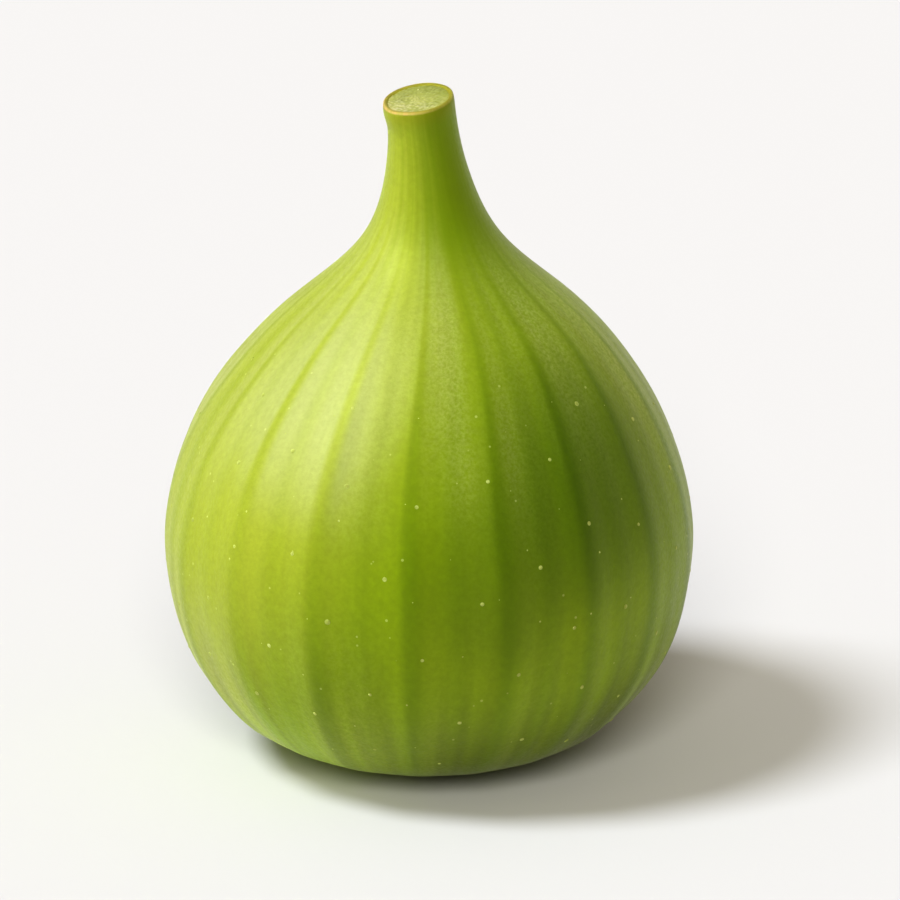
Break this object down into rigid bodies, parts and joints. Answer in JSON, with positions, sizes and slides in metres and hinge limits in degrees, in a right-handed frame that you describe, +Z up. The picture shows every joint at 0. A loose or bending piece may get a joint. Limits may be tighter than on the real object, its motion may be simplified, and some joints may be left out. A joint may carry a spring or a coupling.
{
  "type": "fresh fig",
  "caption": "Whole fresh green fig with softly ribbed skin, a slender neck and a slantwise cut stem, standing on its eye end.",
  "frame": {"origin": "on the surface that the fig stands on, under the middle of its body", "axes": "+Z up from the eye at the base to the cut stem, -Y towards the front"},
  "size_m": [0.0476, 0.0477, 0.0611],
  "materials": {
    "fig_skin": "satin",
    "cut_stem": "matte",
    "fig_eye": "matte"
  },
  "bodies": {
    "root": {"fig": "fig_skin"}
  },
  "joints": []
}
